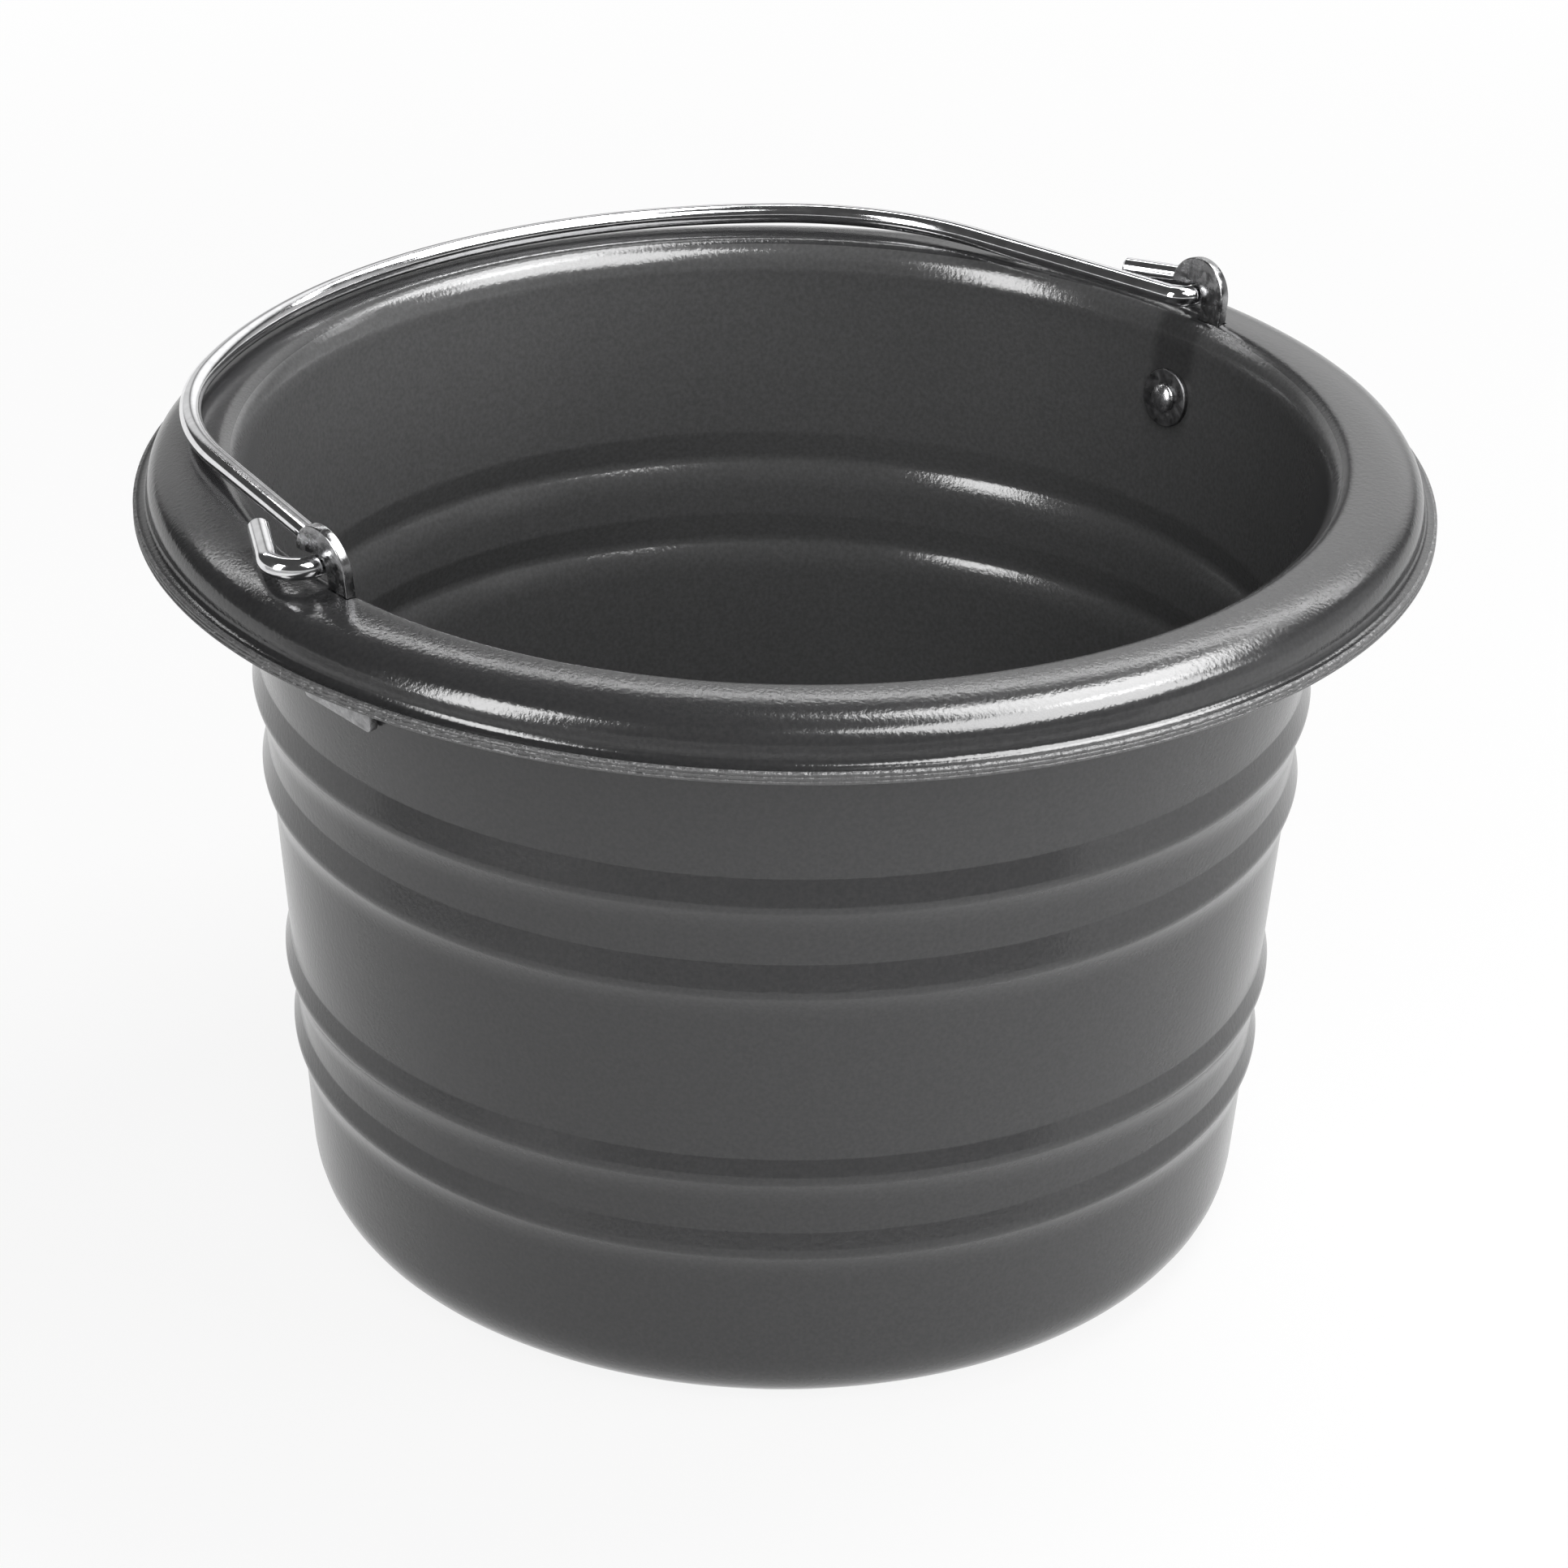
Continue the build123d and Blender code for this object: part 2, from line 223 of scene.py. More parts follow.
class BucketStage(PropertyGroup):
    """Camera, lamps and floor"""

    view_azimuth: turn("View", "Way round to the camera from the front, -Y", -40.3)
    camera_reach: size("Camera distance", "Camera from the tub's axis, level", 1.3363)
    camera_height: size("Camera height", "Camera above the floor", 0.8136)
    camera_pan: turn("Camera pan", "How far the camera turns to the right of the axis", 0.057)
    camera_tilt: turn("Camera tilt", "How far the camera looks down", 27.04)
    camera_roll: turn("Camera roll", "How far the camera leans to one side", 1.186)
    lens: share("Lens", "Focal length in millimetres, on a 36 mm frame", 115.53)
    floor_d: size("Floor", "Diameter of the floor", 60.0)
    floor_colour: tint("Floor colour", "Colour of the floor", (0.92, 0.92, 0.92))
    floor_near: size("Floor near", "How far from the axis the floor starts to whiten", 0.5)
    floor_far: size("Floor far", "How far from the axis the floor is white", 1.4)
    floor_lift: share("Floor lift", "How far the floor by the bucket is lifted to white", 0.88)
    card_reach: size("Card distance", "Shaded card from the tub's axis", 0.62)
    card_low: size("Card foot", "Lower edge of the card", 0.04)
    card_high: size("Card top", "Upper edge of the card", 0.24)
    card_colour: tint("Card", "Colour of the card", (0.5, 0.5, 0.5))
    back_level: share("Backdrop", "Brightness of the white backdrop, low round the floor", 1.0)
    back_low: share("Backdrop white", "Sine of the angle up to which the backdrop is white", 0.02)
    back_high: share("Backdrop end", "Sine of the angle at which the backdrop ends", 0.12)
    room_level: share("Room", "Brightness of the dim room overhead and behind the camera", 0.07)


# Lines and meshes

def cross(a, b):
    """Cross product of two flat vectors."""
    return a.x * b.y - a.y * b.x


def swept(start, way, end, spacing=radians(3)):
    """Points of the arc that leaves start along way and arrives at end, without start."""
    start, way, chord = Vector(start), Vector(way).normalized(), Vector(end) - Vector(start)
    half = atan2(cross(way, chord), way.dot(chord))
    steps = max(4, ceil(abs(2 * half) / spacing))
    points = []
    for step in range(1, steps + 1):
        part = step / steps
        reach = chord.length * sin(half * part) / sin(half)
        points.append(start + reach * (Matrix.Rotation(half * part, 2) @ way))
    return points


def oval(centre, across, tall, start, stop, steps=28):
    """Points of an ellipse about centre from one angle to another, in degrees."""
    points = []
    for step in range(steps + 1):
        angle = radians(start + (stop - start) * step / steps)
        points.append(Vector((centre[0] + across * cos(angle), centre[1] + tall * sin(angle))))
    return points


def shortened(points, reach):
    """The line without the last part of its length."""
    points = list(points)
    while len(points) > 2 and (points[-1] - points[-2]).length <= reach:
        reach -= (points[-1] - points[-2]).length
        points.pop()
    run = points[-1] - points[-2]
    points[-1] = points[-1] - run.normalized() * min(reach, 0.95 * run.length)
    return points


def rounded(points, corners, steps=10):
    """The line with arcs at its corners, each given as a place in the line and a radius."""
    for place, radius in sorted(corners, reverse=True):
        before, after = points[: place + 1], points[place:]
        angle = (before[-1] - before[-2]).angle(after[1] - after[0])
        reach = radius * tan(angle / 2)
        before = shortened(before, reach)
        after = shortened(after[::-1], reach)[::-1]
        way_in = (before[-1] - before[-2]).normalized()
        way_out = (after[1] - after[0]).normalized()
        knee = before[-1] + way_in * cross(after[0] - before[-1], way_out) / cross(way_in, way_out)
        weight = cos(way_in.angle(way_out) / 2)
        arc = []
        for step in range(1, steps):
            t = step / steps
            pulls = ((1 - t) ** 2, 2 * weight * t * (1 - t), t**2)
            total = before[-1] * pulls[0] + knee * pulls[1] + after[0] * pulls[2]
            arc.append(total / sum(pulls))
        points = before + arc + after
    return points


def divided(points, longest):
    """The line with extra points, so that no run is longer than longest."""
    result = [points[0]]
    for end in points[1:]:
        start = result[-1]
        steps = max(1, ceil((end - start).length / longest))
        result += [start.lerp(end, step / steps) for step in range(1, steps + 1)]
    return result


def revolved(name, line, segments):
    """Mesh of a line of (radius, height) points turned round the Z axis; it starts and ends on the axis."""
    directions = [(cos(2 * pi * s / segments), sin(2 * pi * s / segments)) for s in range(segments)]
    points = [(0, 0, line[0].y)]
    for point in line[1:-1]:
        points += [(point.x * c, point.x * s, point.y) for c, s in directions]
    points.append((0, 0, line[-1].y))
    rings = len(line) - 2
    last = len(points) - 1
    faces = []
    for s in range(segments):
        t = (s + 1) % segments
        faces.append((0, 1 + t, 1 + s))
        for ring in range(rings - 1):
            low, high = 1 + ring * segments, 1 + (ring + 1) * segments
            faces.append((low + s, low + t, high + t, high + s))
        low = 1 + (rings - 1) * segments
        faces.append((low + s, low + t, last))
    return mesh_of(name, points, faces)


def ringed(name, line, segments):
    """Mesh of a closed line of (radius, height) points turned round the Z axis."""
    directions = [(cos(2 * pi * s / segments), sin(2 * pi * s / segments)) for s in range(segments)]
    points = []
    for point in line:
        points += [(point.x * c, point.x * s, point.y) for c, s in directions]
    faces = []
    for ring in range(len(line)):
        low, high = ring * segments, (ring + 1) % len(line) * segments
        for s in range(segments):
            t = (s + 1) % segments
            faces.append((low + s, low + t, high + t, high + s))
    return mesh_of(name, points, faces)


def mesh_of(name, points, faces):
    """A mesh with smooth faces."""
    mesh = bpy.data.meshes.new(name)
    mesh.from_pydata([tuple(point) for point in points], [], faces)
    mesh.polygons.foreach_set("use_smooth", [True] * len(mesh.polygons))
    mesh.update()
    return mesh


def mirrored(mesh, name):
    """The mesh for the other side of the bucket."""
    other = mesh.copy()
    other.name = name
    other.transform(Matrix.Scale(-1, 4, (1, 0, 0)))
    other.flip_normals()
    return other


def placed(name, mesh, materials):
    """A new object of the mesh, with its materials."""
    piece = bpy.data.objects.new(name, mesh)
    bpy.context.scene.collection.objects.link(piece)
    for material in materials:
        mesh.materials.append(material)
    return piece


def settle(piece, node, body):
    """The piece stands for a node of the frame and moves with its body."""
    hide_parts(node)
    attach(piece, body)


def without(piece, cutter):
    """Takes the cutter's shape out of the piece, and removes the cutter."""
    modifier = piece.modifiers.new("Cut", "BOOLEAN")
    modifier.object = cutter
    modifier.operation = "DIFFERENCE"
    modifier.solver = "EXACT"
    graph = bpy.context.evaluated_depsgraph_get()
    cut = bpy.data.meshes.new_from_object(piece.evaluated_get(graph))
    if not cut.polygons:
        raise RuntimeError(f"The cut left nothing of {piece.name}")
    piece.modifiers.clear()
    piece.data = cut
    bpy.data.objects.remove(cutter)


# Places on the bucket

def wall_r(tub, z):
    """Outer radius of the plain wall at height z, or of the band above the ridges."""
    lip_z = tub.height - tub.lip_h
    band_z = tub.height - tub.upper_ridge_drop + tub.upper_fall
    inner_r = tub.hem_d / 2 - tub.rim_w - tub.lip_w
    band_r = inner_r + tub.wall / cos(tub.band_lean) - (lip_z - band_z) * tan(tub.band_lean)
    return band_r + (z - band_z) * tan(tub.band_lean if z > band_z else tub.taper)


def ear_place(tub, ears):
    """Frame at the right rivet: X across the ear, Y up the wall, Z out of the wall."""
    z = tub.height - ears.rivet_drop
    c, s = cos(tub.band_lean), sin(tub.band_lean)
    return Matrix(((0, s, c, wall_r(tub, z)), (1, 0, 0, 0), (0, c, -s, z), (0, 0, 0, 1)))


def pivot_height(tub, ears):
    """Height of the bail's pivot line above the rivets, up the wall."""
    return (SWING["pos_m"][2] - tub.height + ears.rivet_drop) / cos(tub.band_lean)


def tongue_height(tub, ears):
    """Upper edge of the ear's tongue above the rivets, up the wall."""
    return (ears.rivet_drop - tub.lip_h - ears.slot_gap) / cos(tub.band_lean)


def stem_middle(ears, bail):
    """Middle of the ear's stem, across the ear."""
    return -(bail.wire_d / 2 + ears.crook_gap + ears.stem_w / 2)


# Finishes

RUBBER_IOR = 1.52
RUBBER_SHEEN = 0.015  # how far the roughness of rubber wanders to each side
RUBBER_TONES = (0.88, 1.12)  # darkest and lightest share of the rubber's colour
ZINC_RIPPLE = 0.3  # how strongly the ripples of the plate show
ZINC_LIGHTER = 1.1  # lightest share of the plate's colour
NOISE_LOW, NOISE_HIGH = 0.3, 0.7  # most of a noise pattern lies between these
TONE_STOPS = (0.32, 0.68)  # amounts at which a colour is at its darkest and its lightest


def add(tree, kind, inputs=None, **settings):
    """A node with its settings, and with values or links for its inputs."""
    made = tree.nodes.new(kind)
    for name, value in settings.items():
        setattr(made, name, value)
    for name, value in (inputs or {}).items():
        if isinstance(value, bpy.types.NodeSocket):
            tree.links.new(value, made.inputs[name])
        else:
            made.inputs[name].default_value = value
    return made


def new_group(name, inputs, outputs):
    """A shader node group with float inputs, given with their defaults, and outputs with their kinds."""
    tree = bpy.data.node_groups.new(name, "ShaderNodeTree")
    for label, default in inputs.items():
        socket = tree.interface.new_socket(name=label, in_out="INPUT", socket_type="NodeSocketFloat")
        socket.default_value = default
    for label, kind in outputs.items():
        tree.interface.new_socket(name=label, in_out="OUTPUT", socket_type=kind)
    return tree, add(tree, "NodeGroupInput").outputs, add(tree, "NodeGroupOutput").inputs


def give(tree, outlets, **values):
    """Links values to the outlets of a group; an underscore in a name stands for a space."""
    for name, socket in values.items():
        tree.links.new(socket, outlets[name.replace("_", " ")])


def speckle(tree, where, scale, detail, **others):
    """A noise pattern at a scale."""
    settings = {"Vector": where, "Scale": scale, "Detail": detail, **others}
    return add(tree, "ShaderNodeTexNoise", settings).outputs["Fac"]


def spread(tree, pattern, low, high):
    """A noise pattern spread between two levels."""
    ends = {"From Min": NOISE_LOW, "From Max": NOISE_HIGH, "To Min": low, "To Max": high}
    return add(tree, "ShaderNodeMapRange", {"Value": pattern, **ends}).outputs["Result"]


def between(tree, value, low, high, at_low, at_high):
    """A value that goes smoothly from one level to another."""
    ends = {"Value": value, "From Min": low, "From Max": high, "To Min": at_low, "To Max": at_high}
    return add(tree, "ShaderNodeMapRange", ends, interpolation_type="SMOOTHSTEP").outputs["Result"]


def product(tree, first, second):
    """One value times another."""
    return add(tree, "ShaderNodeMath", {0: first, 1: second}, operation="MULTIPLY").outputs["Value"]


def greater(tree, first, second):
    """The greater of two values."""
    return add(tree, "ShaderNodeMath", {0: first, 1: second}, operation="MAXIMUM").outputs["Value"]


def moulded_grain():
    """Group: fine pebbled grain of moulded rubber, with slow patches of different sheen."""
    name = "Moulded grain"
    if name in bpy.data.node_groups:
        return bpy.data.node_groups[name]
    floats = "NodeSocketFloat"
    tree, given, made = new_group(
        name,
        {"Grain scale": 900.0, "Patch scale": 22.0, "Sheen low": 0.3, "Sheen high": 0.42},
        {"Height": floats, "Sheen": floats},
    )
    where = add(tree, "ShaderNodeTexCoord").outputs["Object"]
    grain = speckle(tree, where, given["Grain scale"], 3.0)
    patch = speckle(tree, where, given["Patch scale"], 2.0)
    sheen = spread(tree, patch, given["Sheen low"], given["Sheen high"])
    give(tree, made, Height=grain, Sheen=sheen)
    return tree


def plated_mottle():
    """Group: uneven brightness and small ripples of zinc plate."""
    name = "Plated mottle"
    if name in bpy.data.node_groups:
        return bpy.data.node_groups[name]
    floats = "NodeSocketFloat"
    tree, given, made = new_group(
        name,
        {"Mottle scale": 260.0, "Ripple scale": 700.0, "Sheen low": 0.16, "Sheen high": 0.34},
        {"Mottle": floats, "Height": floats, "Sheen": floats},
    )
    where = add(tree, "ShaderNodeTexCoord").outputs["Object"]
    mottle = speckle(tree, where, given["Mottle scale"], 5.0, Roughness=0.6, Distortion=0.4)
    ripple = speckle(tree, where, given["Ripple scale"], 2.0)
    sheen = spread(tree, mottle, given["Sheen low"], given["Sheen high"])
    give(tree, made, Mottle=mottle, Height=ripple, Sheen=sheen)
    return tree


def new_material(name):
    """A material with only its Principled shader, and that shader's tree."""
    material = bpy.data.materials.new(name)
    material.use_nodes = True
    tree = material.node_tree
    return material, tree, tree.nodes["Principled BSDF"]


def shades(tree, amount, colour, darker, lighter):
    """A colour that changes with amount, from a darker to a lighter share of it."""
    low = tuple(value * darker for value in colour) + (1,)
    high = tuple(min(1, value * lighter) for value in colour) + (1,)
    ramp = add(tree, "ShaderNodeValToRGB", {"Fac": amount})
    for stop, place, tone in zip(ramp.color_ramp.elements, TONE_STOPS, (low, high)):
        stop.position = place
        stop.color = tone
    return ramp.outputs["Color"]


def rubber(name, colour, roughness, grain_scale, grain_depth, grain_strength):
    """Dark satin rubber."""
    material, tree, shader = new_material(name)
    grain = add(tree, "ShaderNodeGroup", node_tree=moulded_grain())
    grain.inputs["Grain scale"].default_value = grain_scale
    grain.inputs["Sheen low"].default_value = roughness - RUBBER_SHEEN
    grain.inputs["Sheen high"].default_value = roughness + RUBBER_SHEEN
    height = grain.outputs["Height"]
    bumps = {"Height": height, "Strength": grain_strength, "Distance": grain_depth}
    tone = shades(tree, height, colour, *RUBBER_TONES)
    tree.links.new(tone, shader.inputs["Base Color"])
    tree.links.new(grain.outputs["Sheen"], shader.inputs["Roughness"])
    tree.links.new(add(tree, "ShaderNodeBump", bumps).outputs["Normal"], shader.inputs["Normal"])
    shader.inputs["IOR"].default_value = RUBBER_IOR
    return material


def paint_washer_shade(material, tub, ears):
    """Painted shade: darkens the rubber round the washers and up to the rim above them."""
    tree = material.node_tree
    shader = tree.nodes["Principled BSDF"]
    where = add(tree, "ShaderNodeTexCoord").outputs["Object"]
    place = add(tree, "ShaderNodeSeparateXYZ", {"Vector": where}).outputs
    aside = add(tree, "ShaderNodeMath", {0: place["Y"]}, operation="ABSOLUTE").outputs["Value"]
    rivet_z = tub.height - ears.rivet_drop
    near = between(tree, aside, ears.washer_d / 4, ears.painted_shade_w / 2, 1.0, 0.0)
    above = between(tree, place["Z"], rivet_z - ears.washer_d, rivet_z, 0.0, 1.0)
    shade_keep = between(tree, product(tree, near, above), 0.0, 1.0, 1.0, ears.painted_shade_keep)
    colour = shader.inputs["Base Color"].links[0].from_socket
    darker = add(tree, "ShaderNodeVectorMath", {0: colour, "Scale": shade_keep}, operation="SCALE")
    tree.links.new(darker.outputs["Vector"], shader.inputs["Base Color"])


def plated(name, colour, low, high, mottle_scale, darker, ripple_depth=0.0002):
    """Zinc plated steel, with its lowest and highest roughness and its darkest share of the colour."""
    material, tree, shader = new_material(name)
    mottle = add(tree, "ShaderNodeGroup", node_tree=plated_mottle())
    mottle.inputs["Mottle scale"].default_value = mottle_scale
    mottle.inputs["Sheen low"].default_value = low
    mottle.inputs["Sheen high"].default_value = high
    ripples = {"Height": mottle.outputs["Height"], "Strength": ZINC_RIPPLE, "Distance": ripple_depth}
    tone = shades(tree, mottle.outputs["Mottle"], colour, darker, ZINC_LIGHTER)
    tree.links.new(tone, shader.inputs["Base Color"])
    tree.links.new(mottle.outputs["Sheen"], shader.inputs["Roughness"])
    tree.links.new(add(tree, "ShaderNodeBump", ripples).outputs["Normal"], shader.inputs["Normal"])
    shader.inputs["Metallic"].default_value = 1.0
    return material


# Tub

def ridged_wall(tub, inset, start, crease_round):
    """Wall line from start up past the ridges, set in by inset, and its corners with their radii."""
    lower, upper = tub.lower_ridge_z, tub.height - tub.upper_ridge_drop
    ridges = (
        (lower, tub.lower_fall),
        (lower + tub.lower_pair_w, tub.lower_fall),
        (upper - tub.upper_pair_w, tub.upper_fall),
        (upper, tub.upper_fall),
    )
    line, corners = [Vector(start)], []
    for ridge_z, fall in ridges:
        rise_z, crease_z = ridge_z - tub.ridge_rise, ridge_z + fall
        line.append(Vector((wall_r(tub, rise_z) - inset, rise_z)))
        line += swept(line[-1], (tan(tub.taper), 1), (wall_r(tub, ridge_z) + tub.ridge_h - inset, ridge_z))
        corners.append((len(line) - 1, tub.ridge_round))
        line.append(Vector((wall_r(tub, crease_z) - inset, crease_z)))
        corners.append((len(line) - 1, crease_round))
    return line, corners


def rolled(foot, crest, fullness, steps=40):
    """Points of the full round from upright at foot over to level at crest."""
    foot, crest = Vector(foot), Vector(crest)
    upright = Vector((foot.x, foot.y + fullness * (crest.y - foot.y)))
    level = Vector((crest.x + fullness * (foot.x - crest.x), crest.y))
    return interpolate_bezier(foot, upright, level, crest, steps)


def tub_line(tub):
    """Section of the tub from the middle of its underside round to the middle of its floor."""
    hem_r = tub.hem_d / 2
    crest_r = hem_r - tub.rim_w
    across = tub.wall / cos(tub.band_lean)
    lip_z = tub.height - tub.lip_h
    hem_z = tub.height - tub.rim_drop
    cove_z = hem_z + tub.hem_h
    roll_z = cove_z + tub.hem_cove + tub.roll_side
    roll_r = hem_r - tub.hem_step
    under_r = roll_r - tub.wall

    line = [Vector((0, 0)), Vector((wall_r(tub, 0), 0))]
    corners = [(1, tub.base_edge_r)]
    outer, outer_corners = ridged_wall(tub, 0, line[-1], tub.crease_round)
    corners += [(place + len(line) - 1, radius) for place, radius in outer_corners]
    line += outer[1:]
    line.append(Vector((wall_r(tub, lip_z), lip_z)))
    line += oval((crest_r, lip_z), tub.lip_w - across, tub.lip_h - tub.wall, 180, 90, 16)[1:]
    line += rolled((under_r, roll_z), (crest_r, tub.height - tub.wall), tub.roll_fullness)[-2::-1]
    # Hem, with fine lines round its outer face
    hem = [(under_r, hem_z, tub.hem_round / 2), (hem_r, hem_z, tub.hem_round)]
    deep = tub.hem_line_d
    for part in (1 / 3, 2 / 3):
        middle = hem_z + part * tub.hem_h
        hem += [(hem_r, middle - deep, 0), (hem_r - deep, middle, 0), (hem_r, middle + deep, 0)]
    hem += [(hem_r, cove_z, tub.hem_round), (roll_r, cove_z, tub.hem_cove)]
    for r, z, radius in hem:
        if radius:
            corners.append((len(line), radius))
        line.append(Vector((r, z)))
    line += rolled((roll_r, roll_z), (crest_r, tub.height), tub.roll_fullness)
    line += oval((crest_r, lip_z), tub.lip_w, tub.lip_h, 90, 180)[1:]
    start = (wall_r(tub, tub.floor_t) - across, tub.floor_t)
    inner, inner_corners = ridged_wall(tub, across, start, tub.crease_round + tub.wall)
    turned = len(line) + len(inner) - 1
    corners += [(turned - place, radius) for place, radius in inner_corners]
    line += inner[::-1]
    corners.append((len(line) - 1, tub.base_edge_r - tub.wall))
    line.append(Vector((0, tub.floor_t)))
    return divided(rounded(line, corners), TUB_RUN)


class BUCKET_OT_tub(Operator):
    """Makes the rubber tub with its ridges, rolled rim, slots and rivet holes"""

    bl_idname = "bucket.make_tub"
    bl_label = "Make tub"

    def execute(self, context):
        tub, ears, bail = context.scene.bucket_tub, context.scene.bucket_ears, context.scene.bucket_bail
        mesh = revolved("tub_moulding", tub_line(tub), tub.segments)
        for vertex in mesh.vertices:
            out = Vector((vertex.co.x, vertex.co.y, 0))
            if out.length > tub.wall:
                wander = noise.noise(vertex.co * SLOW_WANDER)
                wander += QUICK_SHARE * noise.noise(vertex.co * QUICK_WANDER)
                reach = min(out.length + wander * tub.unevenness, tub.hem_d / 2)
                vertex.co += out.normalized() * (reach - out.length)
        moulded = (tub.gloss, tub.grain, tub.grain_depth, tub.grain_strength)
        cut = (tub.hem_gloss, tub.hem_grain, tub.hem_grain_depth, tub.hem_grain_strength)
        outer = rubber("Tub rubber", tub.colour, *moulded)
        hem = rubber("Hem rubber", tub.hem_colour, *cut)
        # The inner face is the same rubber painted paler, as painted light inside the tub
        inner = rubber("Inner rubber lightened", tub.inner_lightened_colour, *moulded)
        # Painted shade on the inner rubber round the washers
        paint_washer_shade(inner, tub, ears)
        piece = placed("tub_moulding", mesh, (outer, hem, inner))

        cove_z = tub.height - tub.rim_drop + tub.hem_h
        inner_edge = tub.hem_d / 2 - tub.rim_w - tub.lip_w / 2
        for face in mesh.polygons:
            r = hypot(face.center.x, face.center.y)
            if r > tub.hem_d / 2 - tub.hem_step and face.center.z < cove_z:
                face.material_index = HEM_FACE
            elif r < inner_edge and face.normal.dot((face.center.x, face.center.y, -r)) < 0:
                face.material_index = INNER_FACE

        low, high = tongue_height(tub, ears), pivot_height(tub, ears)
        width, depth = ears.stem_w + 2 * ears.slot_gap, ears.ear_t + 2 * ears.slot_gap
        form = bmesh.new()
        middle = (stem_middle(ears, bail), (low + high) / 2, ears.seat_gap + ears.ear_t / 2)
        slot = Matrix.Translation(middle) @ Matrix.Diagonal((width, high - low, depth, 1))
        bmesh.ops.create_cube(form, size=1, matrix=slot)
        hole_r = ears.shank_d / 2 + ears.shank_gap
        bmesh.ops.create_cone(
            form,
            cap_ends=True,
            segments=HOLE_SEGMENTS,
            radius1=hole_r,
            radius2=hole_r,
            depth=6 * tub.wall,
        )
        bmesh.ops.transform(form, matrix=ear_place(tub, ears), verts=form.verts)
        tools = bpy.data.meshes.new("ear_cutter")
        form.to_mesh(tools)
        form.free()
        for name in SIDES:
            other = tools.copy() if name == "right" else mirrored(tools, "ear_cutter_left")
            without(piece, placed(f"ear_cutter_{name}", other, ()))
        piece.data.set_sharp_from_angle(angle=TUB_SHARP)
        settle(piece, "tub", "tub")
        return {"FINISHED"}


# Ears, rivets and washers

def ear_outline(tub, ears, bail):
    """Outline of the right ear, across the ear and up the wall from its rivet."""
    wire_r = bail.wire_d / 2
    crook_r = wire_r + ears.crook_gap
    top, pivot = tongue_height(tub, ears), pivot_height(tub, ears)
    half, outer_edge = crook_r + ears.stem_w + ears.tongue_past, -crook_r - ears.stem_w
    middle = Vector((outer_edge + ears.crook_out_r, pivot + ears.crook_rise))

    # The crook ends on a straight cut, which meets its outside where the circle does
    inside = Vector((crook_r * cos(ears.crook_end), pivot + crook_r * sin(ears.crook_end)))
    aim = Vector((ears.crook_out_r * cos(ears.crook_tip), pivot + ears.crook_out_r * sin(ears.crook_tip)))
    way = (aim - inside).normalized()
    along = way.dot(middle - inside)
    reach = along + sqrt(ears.crook_out_r**2 - (inside + way * along - middle).length_squared)
    tip = inside + way * reach
    tip_angle = degrees(atan2(tip.y - middle.y, tip.x - middle.x))

    line = [(half, -ears.below_rivet), (half, top), (-crook_r, top), (-crook_r, pivot)]
    line = [Vector(point) for point in line]
    corners = [(0, ears.corner_r), (1, ears.corner_r), (2, ears.corner_r / 2)]
    line += oval((0, pivot), crook_r, crook_r, 180, degrees(ears.crook_end), CROOK_STEPS // 2)[1:]
    corners.append((len(line) - 1, ears.corner_r / 3))
    corners.append((len(line), ears.corner_r / 2))
    line += oval(middle, ears.crook_out_r, ears.crook_out_r, tip_angle, 180, CROOK_STEPS)
    for point in ((outer_edge, top), (-half, top), (-half, -ears.below_rivet)):
        corners.append((len(line), ears.corner_r / (2 if point[0] == outer_edge else 1)))
        line.append(Vector(point))
    # One corner needs a run on each side of it, so the line starts in the middle of the lower edge
    start = Vector((0, -ears.below_rivet))
    corners = [(place + 1, radius) for place, radius in corners]
    return rounded([start] + line + [start], corners, CORNER_STEPS)[:-1]


def stamped(name, outlines, thick, edge_r):
    """Flat steel cut to closed outlines, holes among them, with slightly rounded edges, about Z = 0."""
    curve = bpy.data.curves.new(name, "CURVE")
    curve.dimensions = "2D"
    curve.fill_mode = "BOTH"
    curve.extrude = thick / 2 - edge_r
    curve.bevel_depth = edge_r
    curve.bevel_resolution = 2
    curve.offset = -edge_r
    for outline in outlines:
        spline = curve.splines.new("POLY")
        spline.points.add(len(outline) - 1)
        for point, place in zip(spline.points, outline):
            point.co = (place.x, place.y, 0, 1)
        spline.use_cyclic_u = True
    form = bpy.data.objects.new(name, curve)
    bpy.context.scene.collection.objects.link(form)
    graph = bpy.context.evaluated_depsgraph_get()
    mesh = bpy.data.meshes.new_from_object(form.evaluated_get(graph))
    bpy.data.objects.remove(form)
    joined = bmesh.new()
    joined.from_mesh(mesh)
    bmesh.ops.remove_doubles(joined, verts=joined.verts, dist=edge_r / 100)
    bmesh.ops.recalc_face_normals(joined, faces=joined.faces)
    joined.to_mesh(mesh)
    joined.free()
    mesh.polygons.foreach_set("use_smooth", [True] * len(mesh.polygons))
    mesh.set_sharp_from_angle(angle=EAR_SHARP)
    return mesh


